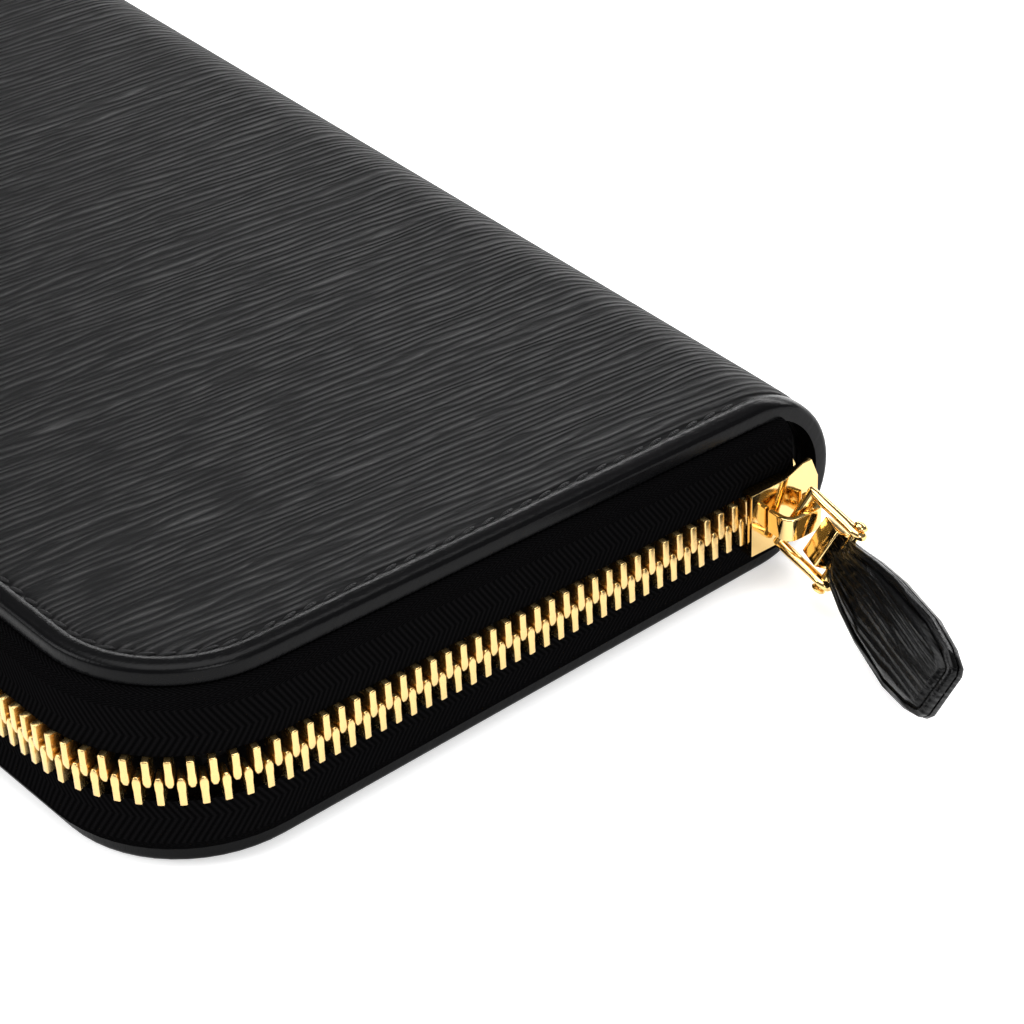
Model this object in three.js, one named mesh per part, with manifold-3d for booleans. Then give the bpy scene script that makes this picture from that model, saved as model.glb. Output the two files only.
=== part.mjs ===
// A long zip around wallet that lies on its back cover: two boarded leather covers joined by a round
// leather spine, a metal zip round three sides, card panels and gussets inside, and a zipped coin
// section between the halves. Millimetres, +X along the wallet, +Y towards the spine, +Z up. The origin
// is the middle of the face that rests on the table.
import * as THREE from 'three';
import { mergeVertices } from 'three/addons/utils/BufferGeometryUtils.js';
import Module from 'manifold-3d';

const wasm = await Module();
wasm.setup();

// ---- driving dimensions -------------------------------------------------------------------------
const LENGTH = 195;             // along X, cover edge to cover edge
const DEPTH = 105;              // along Y, opening edge to the outermost line of the spine
const SPINE_THICKNESS = 23.5;   // closed thickness at the spine
const WEDGE = 3;                // degrees the front cover rises towards the opening
const CORNER_R = 18;            // plan radius of the covers' corners

const GAP = 0.3;                // clearance between pieces that touch
const SKIN_T = 1.4;             // cover leather
const EDGE_T = 2.4;             // cover edge, where the leather is turned in
const EDGE_BAND = 9;            // width of the turned-in leather
const BOARD_T = 0.8;
const TAPE_T = 0.5;
const TAPE_SEAM = 8;            // how far the tape goes in between cover and lining
const LINING_T = 0.6;
const LINING_INSET = 4.5;       // lining edge to cover edge
const PANEL_T = 0.45;           // card panel
const PANEL_COUNT = 3;
const PANEL_STEP = 12;          // from the mouth of one card panel to the next
const PANEL_FIRST = 16;         // cover edge at the opening to the lowest panel's mouth
const PANEL_INSET = 8;          // card panel ends to cover ends

const COIN_THICKNESS = 6;       // coin section, outside
const COIN_WALL_T = 0.7;
const COIN_INSET_X = 10;        // coin section ends to cover ends
const COIN_INSET_Y = 15;        // its opening edge to the cover's
const COIN_STRIP_W = 1.2;

const GUSSET_T = 0.4;
const GUSSET_FOLD = 24;         // how deep the gusset folds in
const GUSSET_FRONT_INSET = 14;  // gusset end to the cover's opening edge
const GUSSET_BACK_INSET = 20;   // gusset end to the spine

const TOOTH_PITCH = 2.25;       // along one row
const TOOTH_W = 0.8;            // along the chain
const TOOTH_DEPTH = 2.6;        // through the chain
const TOOTH_REACH = 0.9;        // past the middle of the chain
const CHAIN_HALF = 3.2;         // half height of the closed chain
const CHAIN_OUT = 3.0;          // outer face of the chain beyond the cover edge
const BEAD_H = 0.9;             // cord that the teeth are clamped on
const CHAIN_DROP = 1.25;        // the chain's middle below the spine's middle, at the spine
const CHAIN_RISE = 0.038;       // its rise for each millimetre towards the opening
const TAPE_PAST = 3.75;         // how far the tapes run on past the start of the spine's curve
const STOP_LENGTH = 2.4;
const STOP_HEIGHT = 2;
const TAPE_TURN = 0.4;          // where the tape leaves the cover and turns towards the chain
const TAPE_RISE = 1.8;          // height over which it turns

const SLIDER_PAST = 0.25;       // slider's middle past the start of the spine's curve, zip closed
const SLIDER_LENGTH = 11;
const SLIDER_HALF_REAR = 4.5;   // half height at the closed side
const SLIDER_HALF_FRONT = 5.6;  // half height at the shoulders
const PLATE_T = 0.8;
const LIP_T = 0.8;
const LIP_END = 0.5;            // lips end just past the slider's middle
const NECK_HALF = 1.1;
const NECK_LENGTH = 2.6;
const TAPE_SLOT = 0.4;          // slider lip to tape, each side
const CROWN_LENGTH = 6.4;
const CROWN_WIDTH = 3.2;
const CROWN_T = 0.8;
const CROWN_HEIGHT = 4.2;

const PULL_PIVOT = 2.0;         // above the slider's outer plate
const PULL_TILT = -31;          // degrees, stirrup turned about its own length
const PULL_YAW = 2;             // degrees, turned about the upright
const PULL_DROOP = 17;          // degrees below level
const TAB_YAW = -22;            // degrees, tab turned on its pin
const STIRRUP_BAR_R = 0.7;
const STIRRUP_INNER = 3.4;         // half of the inside width
const STIRRUP_T = 1.0;
const STIRRUP_W = 2.5;          // strip width
const STIRRUP_REACH = 9.3;      // pivot to the arms' round ends
const PIN_X = 7.9;              // pivot to pin
const PIN_R = 0.6;
const PIN_HEAD_R = 1.15;
const PIN_HEAD_T = 0.9;
const FERRULE_X = 3.4;          // pivot to ferrule
const FERRULE_LENGTH = 3.4;
const FERRULE_HALF_W = 2.75;
const FERRULE_HALF_T = 1.7;
const FERRULE_WALL = 0.5;
const TAB_END = 35;             // pivot to the tip of the tab
const TAB_HALF_W = 5.4;
const TAB_HALF_T = 1.9;
const TAB_TIP_HALF = 3;

const COIL_DEPTH = 1.3;         // coil size from the pocket's edge outwards
const COIN_TAPE_W = 7;
const COIN_ZIP_END = 8;         // coin zip's ends to the coin section's ends
const COIN_STOP_W = 1.5;
const COIN_SLIDER_LENGTH = 8;
const COIN_LIP_T = 0.4;
const COIN_PLATE_T = 0.7;
const COIN_NECK_LENGTH = 1.4;
const COIN_NECK_HALF = 0.6;
const COIN_CROWN_HALF = 2.6;    // half length of the bridge
const COIN_CROWN_WIDTH = 1.6;
const COIN_CROWN_T = 0.6;
const COIN_TAG_LENGTH = 9;
const COIN_TAG_HALF = 2.2;
const COIN_TAG_T = 0.8;
const COIN_TAG_BAR = 1.0;
const COIN_TAG_WINDOW = 4.2;    // pivot to the far side of the window

// ---- derived values -----------------------------------------------------------------------------
const HALF_L = LENGTH / 2;
const HALF_D = DEPTH / 2;
const SPINE_R = SPINE_THICKNESS / 2;
const SPINE_CENTRE_Y = HALF_D - SPINE_R;
const CHAIN_Z_SPINE = SPINE_R - CHAIN_DROP;
const TAPE_END_Y = SPINE_CENTRE_Y + TAPE_PAST;
const SLIDER_Y = SPINE_CENTRE_Y + SLIDER_PAST;
const BOARD_Z = SKIN_T + GAP;
const TAPE_Z = EDGE_T + GAP;
const LINING_Z = TAPE_Z + TAPE_T + GAP;
const PANEL_Z = LINING_Z + LINING_T + GAP;
const STACK_T = PANEL_Z + PANEL_COUNT * (PANEL_T + GAP) - GAP;
const COIN_Z = SPINE_R - COIN_THICKNESS / 2;
const TOOTH_IN = CHAIN_OUT - TOOTH_DEPTH;
const TAPE_U = CHAIN_OUT - TOOTH_DEPTH / 2 - TAPE_T / 2;
const TAPE_EDGE = CHAIN_HALF + GAP;
const OUTER_PLATE_U = CHAIN_OUT + GAP;
const INNER_PLATE_U = TOOTH_IN - GAP - PLATE_T;
const PIVOT_X = HALF_L + OUTER_PLATE_U + PLATE_T + PULL_PIVOT;
const FERRULE_END = FERRULE_X - PIN_X + FERRULE_LENGTH;
const SLOPE = Math.tan(THREE.MathUtils.degToRad(WEDGE));
const COIN_X = HALF_L - COIN_INSET_X;
const COIN_Y0 = -HALF_D + COIN_INSET_Y;
const COIN_Y1 = HALF_D - LINING_Z - LINING_T - 2;
const COIN_INNER_Z = COIN_Z + COIN_WALL_T + GAP;
const COIN_SLIDER_HALF = SPINE_R - COIN_INNER_Z + GAP + COIN_LIP_T;
const COIL_Y = COIN_Y0 - GAP - COIL_DEPTH / 2;
const COIN_ZIP_X = COIN_X - COIN_ZIP_END;
const COIN_SLIDER_X = COIN_ZIP_X - GAP - COIN_SLIDER_LENGTH / 2;
const COIN_TAG_RISE = COIN_TAG_T / 2 + GAP;
const BLEND_STOPS = [[STACK_T, 0], [COIN_Z, 0.5], [SPINE_THICKNESS - COIN_Z, 0.5],
  [SPINE_THICKNESS - STACK_T, 1]];

// ---- materials ----------------------------------------------------------------------------------
const finish = (color, roughness, metalness = 0) =>
  new THREE.MeshStandardMaterial({ color, roughness, metalness });
const LEATHER = finish(0x141416, 0.45);
const LINING = finish(0x1b1a1c, 0.75);
const BOARD = finish(0x6b655b, 0.9);
const TAPE = finish(0x0b0a0d, 0.85);
const GOLD = finish(0xd9a94e, 0.18, 1);

const wallet = new THREE.Group();

// ---- helpers ------------------------------------------------------------------------------------
function solid(geometry) {
  const bare = geometry.clone();
  bare.deleteAttribute('normal');
  bare.deleteAttribute('uv');
  const merged = mergeVertices(bare, 1e-4);
  return new wasm.Manifold(new wasm.Mesh({
    numProp: 3,
    vertProperties: Float32Array.from(merged.attributes.position.array),
    triVerts: Uint32Array.from(merged.index.array),
  }));
}

function toGeometry(manifold) {
  const mesh = manifold.getMesh();
  const geometry = new THREE.BufferGeometry();
  geometry.setAttribute('position', new THREE.BufferAttribute(mesh.vertProperties, 3));
  geometry.setIndex(new THREE.BufferAttribute(mesh.triVerts, 1));
  return geometry;
}

const join = (first, ...rest) => toGeometry(rest.reduce((sum, g) => sum.add(solid(g)), solid(first)));
const cut = (first, ...rest) => toGeometry(rest.reduce((sum, g) => sum.subtract(solid(g)), solid(first)));

// An outline given depth with plain, unbevelled edges.
function extruded(shape, depth, curveSegments = 8) {
  return new THREE.ExtrudeGeometry(shape, { depth, bevelEnabled: false, curveSegments });
}

function add(name, geometry, material, parent = wallet) {
  const mesh = new THREE.Mesh(geometry, material);
  mesh.name = name;
  parent.add(mesh);
  return mesh;
}

function box(x0, x1, y0, y1, z0, z1) {
  const geometry = new THREE.BoxGeometry(x1 - x0, y1 - y0, z1 - z0);
  return geometry.translate((x0 + x1) / 2, (y0 + y1) / 2, (z0 + z1) / 2);
}

function rod(radius, length, sides = 16) {
  return new THREE.CylinderGeometry(radius, radius, length, sides).rotateX(Math.PI / 2);
}

// A plan outline inset from the cover edge: round corners at the opening, straight at backY.
function plan(inset, backY) {
  const x = HALF_L - inset;
  const y = -HALF_D + inset;
  const r = Math.max(CORNER_R - inset, 1);
  const shape = new THREE.Shape();
  shape.moveTo(-x, backY);
  shape.lineTo(-x, y + r);
  shape.absarc(-x + r, y + r, r, Math.PI, 1.5 * Math.PI);
  shape.lineTo(x - r, y);
  shape.absarc(x - r, y + r, r, -0.5 * Math.PI, 0);
  shape.lineTo(x, backY);
  shape.closePath();
  return shape;
}

function slab(shape, z0, z1) {
  const geometry = extruded(shape, z1 - z0);
  return geometry.translate(0, 0, z0);
}

// Places a flat outline upright: its x runs along +Y, its y along `up`, and it is `width` long in X.
function upright(shape, width, up) {
  const geometry = extruded(shape, width);
  geometry.translate(0, 0, -width / 2);
  const along = new THREE.Vector3(0, 1, 0);
  return geometry.applyMatrix4(new THREE.Matrix4().makeBasis(along, up, along.clone().cross(up)));
}

// A quarter of the round spine, from the cover's flat part up to the middle of the thickness.
function spineQuarter(depthIn, thickness, length) {
  const outer = SPINE_R - depthIn;
  const inner = outer - thickness;
  const overlap = 0.5;
  const profile = new THREE.Shape();
  profile.moveTo(-overlap, outer);
  profile.absarc(0, 0, outer, Math.PI / 2, Math.asin(GAP / 2 / outer), true);
  profile.absarc(0, 0, inner, Math.asin(GAP / 2 / inner), Math.PI / 2, false);
  profile.lineTo(-overlap, inner);
  profile.closePath();
  const geometry = upright(profile, length, new THREE.Vector3(0, 0, -1));
  return geometry.translate(0, SPINE_CENTRE_Y, SPINE_R);
}

// Share of the wedge that a layer at nominal height z takes: none in the back half, all in the front.
function wedgeShare(z) {
  const above = BLEND_STOPS.findIndex(([height]) => z <= height);
  if (above === 0) return 0;
  if (above === -1) return 1;
  const [[z0, g0], [z1, g1]] = [BLEND_STOPS[above - 1], BLEND_STOPS[above]];
  return g0 + (g1 - g0) * (z - z0) / (z1 - z0);
}

const lifted = (y, z) => z + (HALF_D - y) * SLOPE * wedgeShare(z);

function wedged(geometry) {
  const position = geometry.attributes.position;
  for (let i = 0; i < position.count; i++) {
    position.setZ(i, lifted(position.getY(i), position.getZ(i)));
  }
  return geometry;
}

// Turns a piece of the back half over into its twin in the front half.
function flipped(geometry) {
  const twin = geometry.clone();
  const position = twin.attributes.position;
  for (let i = 0; i < position.count; i++) position.setZ(i, SPINE_THICKNESS - position.getZ(i));
  const index = twin.index ? twin.index.array : null;
  if (index) {
    for (let i = 0; i < index.length; i += 3) [index[i], index[i + 1]] = [index[i + 1], index[i]];
    return twin;
  }
  const p = position.array;
  for (let i = 0; i < p.length; i += 9) {
    for (let k = 0; k < 3; k++) [p[i + k], p[i + 3 + k]] = [p[i + 3 + k], p[i + k]];
  }
  return twin;
}

// ---- path of the zip: down the +X side, along the opening, up the -X side --------------------------
function zipPath(startY, endY) {
  const stops = [];
  const line = (x, y, nx, ny) => stops.push({ x, y, nx, ny });
  const cx = HALF_L - CORNER_R;
  const cy = -HALF_D + CORNER_R;
  const steps = 8;
  line(HALF_L, startY, 1, 0);
  for (let i = 0; i <= steps; i++) {
    const a = -i / steps * Math.PI / 2;
    line(cx + CORNER_R * Math.cos(a), cy + CORNER_R * Math.sin(a), Math.cos(a), Math.sin(a));
  }
  for (let i = 0; i <= steps; i++) {
    const a = -Math.PI / 2 - i / steps * Math.PI / 2;
    line(-cx + CORNER_R * Math.cos(a), cy + CORNER_R * Math.sin(a), Math.cos(a), Math.sin(a));
  }
  line(-HALF_L, endY, -1, 0);
  return stops;
}

// Point and outward normal at a distance along the middle line of the teeth.
function zipRoute(startY, endY) {
  const offset = CHAIN_OUT - TOOTH_DEPTH / 2;
  const r = CORNER_R + offset;
  const cx = HALF_L - CORNER_R;
  const cy = -HALF_D + CORNER_R;
  const lengths = [startY - cy, r * Math.PI / 2, 2 * cx, r * Math.PI / 2, endY - cy];
  const total = lengths.reduce((a, b) => a + b);
  function at(s) {
    let rest = s;
    if (rest < lengths[0]) return { x: HALF_L + offset, y: startY - rest, nx: 1, ny: 0 };
    rest -= lengths[0];
    if (rest < lengths[1]) {
      const a = -rest / r;
      return { x: cx + r * Math.cos(a), y: cy + r * Math.sin(a), nx: Math.cos(a), ny: Math.sin(a) };
    }
    rest -= lengths[1];
    if (rest < lengths[2]) return { x: cx - rest, y: -HALF_D - offset, nx: 0, ny: -1 };
    rest -= lengths[2];
    if (rest < lengths[3]) {
      const a = -Math.PI / 2 - rest / r;
      return { x: -cx + r * Math.cos(a), y: cy + r * Math.sin(a), nx: Math.cos(a), ny: Math.sin(a) };
    }
    return { x: -HALF_L - offset, y: cy + rest - lengths[3], nx: -1, ny: 0 };
  }
  return { total, at };
}

const chainZ = (y) => CHAIN_Z_SPINE + (HALF_D - y) * CHAIN_RISE;

// Sweeps a closed section along a path. Each corner is a distance outwards and a height that
// depends on y.
function sweep(path, section) {
  const cornersAt = (y) => section.map(([u, height]) => new THREE.Vector2(u, height(y)));
  const ordered = THREE.ShapeUtils.isClockWise(cornersAt(path[0].y)) ? [...section].reverse() : section;
  const rings = path.map((p) => ordered.map(([u, height]) => {
    const y = p.y + u * p.ny;
    return [p.x + u * p.nx, y, height(y)];
  }));
  const n = rings[0].length;
  const points = rings.flat(2);
  const index = [];
  for (let i = 0; i + 1 < rings.length; i++) {
    for (let j = 0; j < n; j++) {
      const a = i * n + j;
      const b = i * n + (j + 1) % n;
      index.push(a, b, a + n, b, b + n, a + n);
    }
  }
  const last = (rings.length - 1) * n;
  const end = ordered.map(([u, height]) => new THREE.Vector2(u, height(path[0].y)));
  for (const [a, b, c] of THREE.ShapeUtils.triangulateShape(end, [])) {
    index.push(a, c, b, last + a, last + b, last + c);
  }
  const geometry = new THREE.BufferGeometry();
  geometry.setAttribute('position', new THREE.Float32BufferAttribute(points, 3));
  geometry.setIndex(index);
  return geometry;
}

// ---- covers and what is sewn to them --------------------------------------------------------------
function coverLeather() {
  const rim = cut(slab(plan(0, SPINE_CENTRE_Y), 0, EDGE_T),
    slab(plan(EDGE_BAND, SPINE_CENTRE_Y + 1), -1, EDGE_T + 1));
  return join(slab(plan(0, SPINE_CENTRE_Y), 0, SKIN_T), rim, spineQuarter(0, SKIN_T, LENGTH));
}

const board = () => slab(plan(EDGE_BAND + GAP, SPINE_CENTRE_Y - GAP), BOARD_Z, BOARD_Z + BOARD_T);

function lining() {
  return join(slab(plan(LINING_INSET, SPINE_CENTRE_Y), LINING_Z, LINING_Z + LINING_T),
    spineQuarter(LINING_Z, LINING_T, LENGTH - 2 * LINING_INSET));
}

function cardPanel(step) {
  const z = PANEL_Z + step * (PANEL_T + GAP);
  const mouth = -HALF_D + PANEL_FIRST + step * PANEL_STEP;
  const x = HALF_L - PANEL_INSET;
  return box(-x, x, mouth, SPINE_CENTRE_Y - PANEL_INSET, z, z + PANEL_T);
}

function buildHalf(side, toPlace) {
  add(`${side}_cover_leather`, toPlace(coverLeather()), LEATHER);
  add(`${side}_board`, toPlace(board()), BOARD);
  add(`${side}_lining`, toPlace(lining()), LINING);
  for (let step = 0; step < PANEL_COUNT; step++) {
    add(`${side}_card_panel_${step + 1}`, toPlace(cardPanel(step)), LEATHER);
  }
}

// ---- main zip -------------------------------------------------------------------------------------
// Heights of the tape's seam in the lower cover (up = 1) and in the upper cover (up = -1).
const seamZ = (y, up) => (up > 0 ? TAPE_Z : lifted(y, SPINE_THICKNESS - TAPE_Z));

function tape(up) {
  const seam = (above) => (y) => seamZ(y, up) + up * above;
  const edge = (y) => chainZ(y) - up * TAPE_EDGE;
  const section = [[-TAPE_SEAM, seam(0)], [TAPE_TURN, seam(0)], [TAPE_U + TAPE_TURN / 2, seam(TAPE_RISE)],
    [TAPE_U + TAPE_T, edge], [TAPE_U, edge], [TAPE_U - TAPE_TURN, seam(TAPE_T + TAPE_RISE)],
    [0, seam(TAPE_T)], [-TAPE_SEAM, seam(TAPE_T)]];
  const end = TAPE_END_Y;
  return sweep(zipPath(end, end), section);
}

// One row of teeth on its cord: a strip whose top steps up to the tip at each tooth.
function teeth(up) {
  const route = zipRoute(SLIDER_Y - GAP, TAPE_END_Y - STOP_LENGTH - GAP);
  const count = Math.floor(route.total / TOOTH_PITCH - 1);
  const pitch = route.total / (count + 1);
  const stations = [0];
  for (let i = 0; i < count; i++) {
    const middle = (i + (up > 0 ? 0.5 : 1)) * pitch;
    stations.push(middle - TOOTH_W / 2, middle + TOOTH_W / 2);
  }
  stations.push(route.total);
  const heights = [0, BEAD_H, CHAIN_HALF + TOOTH_REACH];
  const points = stations.flatMap((s) => {
    const p = route.at(s);
    return heights.flatMap((h) => [-1, 1].flatMap((side) => {
      const u = side * TOOTH_DEPTH / 2;
      const y = p.y + u * p.ny;
      return [p.x + u * p.nx, y, chainZ(y) + up * (h - CHAIN_HALF)];
    }));
  });
  const [ROOT_IN, ROOT_OUT, BEAD_IN, BEAD_OUT, TIP_IN, TIP_OUT] = [0, 1, 2, 3, 4, 5];
  const index = [];
  const quad = (a, b, c, d) => index.push(...(up > 0 ? [a, b, c, a, c, d] : [a, c, b, a, d, c]));
  const corner = (k, level) => k * 6 + level;
  const wall = (k, from, to) =>
    quad(corner(k, from), corner(k, to), corner(k + 1, to), corner(k + 1, from));
  for (let k = 0; k + 1 < stations.length; k++) {
    wall(k, ROOT_IN, ROOT_OUT);
    wall(k, ROOT_OUT, BEAD_OUT);
    wall(k, BEAD_IN, ROOT_IN);
    if (k % 2 === 0) {
      wall(k, BEAD_OUT, BEAD_IN);
    } else {
      wall(k, BEAD_OUT, TIP_OUT);
      wall(k, TIP_IN, BEAD_IN);
      wall(k, TIP_OUT, TIP_IN);
      quad(corner(k, BEAD_IN), corner(k, TIP_IN), corner(k, TIP_OUT), corner(k, BEAD_OUT));
      quad(corner(k + 1, BEAD_IN), corner(k + 1, BEAD_OUT), corner(k + 1, TIP_OUT), corner(k + 1, TIP_IN));
    }
  }
  const last = stations.length - 1;
  quad(corner(0, ROOT_IN), corner(0, BEAD_IN), corner(0, BEAD_OUT), corner(0, ROOT_OUT));
  quad(corner(last, ROOT_IN), corner(last, ROOT_OUT), corner(last, BEAD_OUT), corner(last, BEAD_IN));
  const geometry = new THREE.BufferGeometry();
  geometry.setAttribute('position', new THREE.Float32BufferAttribute(points, 3));
  geometry.setIndex(index);
  return mergeVertices(geometry.toNonIndexed(), 1e-4);
}

// The metal stop clamped over the tape edge beyond the last tooth.
function zipStop(up) {
  const y1 = TAPE_END_Y;
  const z = chainZ(y1) - up * (TAPE_EDGE - GAP);
  const x = -HALF_L - TOOTH_IN;
  return box(x - TOOTH_DEPTH, x, y1 - STOP_LENGTH, y1, Math.min(z, z + up * STOP_HEIGHT),
    Math.max(z, z + up * STOP_HEIGHT));
}

function buildZip() {
  add('zip_tape_lower', tape(1), TAPE);
  add('zip_tape_upper', tape(-1), TAPE);
  add('zip_teeth_lower', teeth(1), GOLD);
  add('zip_teeth_upper', teeth(-1), GOLD);
  add('zip_stop_lower', zipStop(1), GOLD);
  add('zip_stop_upper', zipStop(-1), GOLD);
}

// ---- slider: local X outwards from the cover edge, Y along the zip, Z across it ----------------------
function sliderPlate(u0, grow) {
  const front = SLIDER_LENGTH / 2;
  const half = SLIDER_HALF_FRONT + grow;
  const shape = new THREE.Shape();
  shape.moveTo(-front, -SLIDER_HALF_REAR);
  shape.lineTo(0, -SLIDER_HALF_REAR);
  shape.lineTo(front * 0.55, -half);
  shape.lineTo(front * 0.8, -half);
  shape.lineTo(front, -half * 0.5);
  shape.lineTo(front, half * 0.5);
  shape.lineTo(front * 0.8, half);
  shape.lineTo(front * 0.55, half);
  shape.lineTo(0, SLIDER_HALF_REAR);
  shape.lineTo(-front, SLIDER_HALF_REAR);
  shape.closePath();
  const geometry = extruded(shape, PLATE_T);
  geometry.applyMatrix4(new THREE.Matrix4().makeBasis(
    new THREE.Vector3(0, 1, 0), new THREE.Vector3(0, 0, 1), new THREE.Vector3(1, 0, 0)));
  return geometry.translate(u0, 0, 0);
}

function sliderBody() {
  const front = SLIDER_LENGTH / 2;
  const lipIn = SLIDER_HALF_REAR - LIP_T;
  const slotIn = TAPE_U - TAPE_SLOT;
  const slotOut = TAPE_U + TAPE_T + TAPE_SLOT;
  const lips = [1, -1].flatMap((side) => {
    const [z0, z1] = side > 0 ? [lipIn, SLIDER_HALF_REAR] : [-SLIDER_HALF_REAR, -lipIn];
    return [box(INNER_PLATE_U, slotIn, -front, LIP_END, z0, z1),
      box(slotOut, OUTER_PLATE_U + PLATE_T, -front, LIP_END, z0, z1)];
  });
  const neck = box(INNER_PLATE_U, OUTER_PLATE_U + PLATE_T, front * 0.3, front * 0.3 + NECK_LENGTH,
    -NECK_HALF, NECK_HALF);
  return join(sliderPlate(INNER_PLATE_U, -0.8), sliderPlate(OUTER_PLATE_U, 0), neck, ...lips);
}

// The bridge over the outer plate that the stirrup's bar passes under.
function sliderCrown() {
  const base = OUTER_PLATE_U + PLATE_T + GAP;
  const half = CROWN_LENGTH / 2;
  const arch = (h, l) => {
    const shape = new THREE.Shape();
    shape.moveTo(-l, 0);
    shape.lineTo(-l, h * 0.5);
    shape.quadraticCurveTo(-l, h, -l * 0.45, h);
    shape.lineTo(l * 0.45, h);
    shape.quadraticCurveTo(l, h, l, h * 0.5);
    shape.lineTo(l, 0);
    shape.closePath();
    return shape;
  };
  const block = (shape, width) => {
    const geometry = extruded(shape, width, 5);
    geometry.translate(0, 0, -width / 2);
    return geometry.applyMatrix4(new THREE.Matrix4().makeBasis(
      new THREE.Vector3(0, 1, 0), new THREE.Vector3(1, 0, 0), new THREE.Vector3(0, 0, -1)));
  };
  const outer = block(arch(CROWN_HEIGHT - GAP, half), CROWN_WIDTH);
  const inner = block(arch(CROWN_HEIGHT - GAP - CROWN_T, half - CROWN_T), CROWN_WIDTH + 1);
  return cut(outer, inner.translate(-0.001, 0, 0)).translate(base, 0, 0);
}

function buildSlider() {
  const group = new THREE.Group();
  group.position.set(HALF_L, SLIDER_Y, chainZ(SLIDER_Y));
  group.rotation.x = -Math.atan(CHAIN_RISE);
  add('slider_body', sliderBody(), GOLD, group);
  add('slider_crown', sliderCrown(), GOLD, group);
  wallet.add(group);
}

// ---- pull: local X outwards along the pull, Y through it, Z across it --------------------------------
function stirrup() {
  const bar = rod(STIRRUP_BAR_R, 2 * STIRRUP_INNER + STIRRUP_T, 12);
  const arms = [1, -1].map((side) => {
    const half = STIRRUP_W / 2;
    const shape = new THREE.Shape();
    shape.moveTo(-STIRRUP_BAR_R, -STIRRUP_BAR_R);
    shape.lineTo(STIRRUP_BAR_R, -half);
    shape.lineTo(STIRRUP_REACH - half, -half);
    shape.absarc(STIRRUP_REACH - half, 0, half, -Math.PI / 2, Math.PI / 2);
    shape.lineTo(STIRRUP_BAR_R, half);
    shape.lineTo(-STIRRUP_BAR_R, STIRRUP_BAR_R);
    shape.closePath();
    const hole = new THREE.Path();
    hole.absarc(PIN_X, 0, PIN_R + GAP, 0, 2 * Math.PI);
    shape.holes.push(hole);
    const geometry = extruded(shape, STIRRUP_T, 6);
    return geometry.translate(0, 0, side > 0 ? STIRRUP_INNER : -STIRRUP_INNER - STIRRUP_T);
  });
  return join(bar, ...arms);
}

function pullPin() {
  const reach = STIRRUP_INNER + STIRRUP_T + GAP;
  const head = (side) => rod(PIN_HEAD_R, PIN_HEAD_T, 14).translate(0, 0, side * (reach + PIN_HEAD_T / 2));
  return join(rod(PIN_R, 2 * reach + PIN_HEAD_T, 14), head(1), head(-1));
}

// Outline of the tab in its own plane: narrow neck, swelling body and a blunt faceted tip.
function tabOutline() {
  const neck = FERRULE_HALF_W - FERRULE_WALL - GAP;
  const start = FERRULE_X - PIN_X + GAP;
  const end = TAB_END - PIN_X;
  const half = [[start, neck], [FERRULE_END + GAP, neck], [FERRULE_END + 4 * GAP, FERRULE_HALF_W],
    [2, FERRULE_HALF_W + 0.3], [6, FERRULE_HALF_W + 1.3], [11, TAB_HALF_W - 0.5],
    [end - 8, TAB_HALF_W], [end - 3.2, TAB_HALF_W - 0.6], [end - 0.6, TAB_TIP_HALF + 0.9],
    [end, TAB_TIP_HALF]];
  const shape = new THREE.Shape();
  shape.moveTo(...half[0]);
  half.slice(1).forEach((p) => shape.lineTo(...p));
  half.slice().reverse().forEach(([x, y]) => shape.lineTo(x, -y));
  shape.closePath();
  return shape;
}

function tabLayer(side) {
  const inside = FERRULE_HALF_T - FERRULE_WALL - GAP;
  const t0 = GAP / 2;
  const body = extruded(tabOutline(), TAB_HALF_T - t0);
  const step = new THREE.BoxGeometry(FERRULE_LENGTH + 4, 2 * FERRULE_HALF_W, 4);
  step.translate(FERRULE_END + GAP - (FERRULE_LENGTH + 4) / 2, 0, inside + 2 - t0);
  const layer = cut(body, step).translate(0, 0, t0).rotateX(side * -Math.PI / 2);
  return cut(layer, rod(PIN_R + GAP, 4 * TAB_HALF_W, 14));
}

function ferrule() {
  const x0 = FERRULE_X - PIN_X;
  const x1 = x0 + FERRULE_LENGTH;
  const outer = box(x0, x1, -FERRULE_HALF_T, FERRULE_HALF_T, -FERRULE_HALF_W, FERRULE_HALF_W);
  const [t, w] = [FERRULE_HALF_T - FERRULE_WALL, FERRULE_HALF_W - FERRULE_WALL];
  return cut(outer, box(x0 - 1, x1 + 1, -t, t, -w, w));
}

function buildPull() {
  const radians = THREE.MathUtils.degToRad;
  const pull = new THREE.Group();
  pull.position.set(PIVOT_X, SLIDER_Y, chainZ(SLIDER_Y));
  pull.rotation.set(radians(PULL_TILT), radians(PULL_DROOP), radians(PULL_YAW), 'ZYX');
  add('pull_stirrup', stirrup(), GOLD, pull);
  add('pull_pin', pullPin(), GOLD, pull).position.x = PIN_X;
  const tab = new THREE.Group();
  tab.position.x = PIN_X;
  tab.rotation.z = radians(TAB_YAW);
  add('pull_ferrule', ferrule(), GOLD, tab);
  add('pull_tab_front', tabLayer(1), LEATHER, tab);
  add('pull_tab_back', tabLayer(-1), LEATHER, tab);
  pull.add(tab);
  wallet.add(pull);
}

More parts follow.
